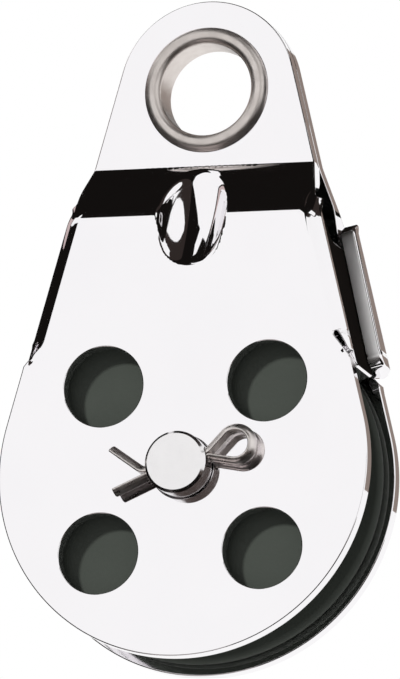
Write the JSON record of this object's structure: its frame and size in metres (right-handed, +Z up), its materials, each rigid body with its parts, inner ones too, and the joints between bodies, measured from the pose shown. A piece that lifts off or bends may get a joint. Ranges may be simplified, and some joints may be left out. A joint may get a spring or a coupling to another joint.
{
  "type": "sailing block",
  "caption": "Pulley block with pressed steel cheeks, a riveted eye, a grooved sheave on a clevis pin, and a split pin.",
  "frame": {"origin": "centre of the eye's bore, in the plane where the two cheeks' tongues meet", "axes": "+X right, +Y from the front cheek to the rear cheek along the eye and the clevis pin, +Z up from the sheave to the eye"},
  "size_m": [0.0486, 0.0205, 0.0862],
  "materials": {
    "polished_steel": "mirror polished",
    "ferrule_steel": "polished",
    "composite": "matte",
    "bearing_metal": "machined",
    "washer_plastic": "matte",
    "pin_steel": "turned and polished",
    "wire_steel": "drawn"
  },
  "bodies": {
    "cheeks": {"front_cheek": "polished_steel", "rear_cheek": "polished_steel", "eye_ferrule": "ferrule_steel"},
    "pin": {"clevis_pin": "pin_steel", "cotter_pin": "wire_steel"},
    "sheave": {"sheave": "composite", "sheave_bush": "bearing_metal"},
    "front_washer": {"front_thrust_washer": "washer_plastic"},
    "rear_washer": {"rear_thrust_washer": "washer_plastic"}
  },
  "joints": [
    {"name": "pin_turn", "type": "hinge", "parent": "cheeks", "child": "pin", "pos_m": [0, 0, -0.0503], "axis": [0, 1, 0], "continuous": true},
    {"name": "sheave_spin", "type": "hinge", "parent": "cheeks", "child": "sheave", "pos_m": [0, 0, -0.0503], "axis": [0, 1, 0], "continuous": true},
    {"name": "front_washer_turn", "type": "hinge", "parent": "cheeks", "child": "front_washer", "pos_m": [0, 0, -0.0503], "axis": [0, 1, 0], "continuous": true},
    {"name": "rear_washer_turn", "type": "hinge", "parent": "cheeks", "child": "rear_washer", "pos_m": [0, 0, -0.0503], "axis": [0, 1, 0], "continuous": true}
  ]
}
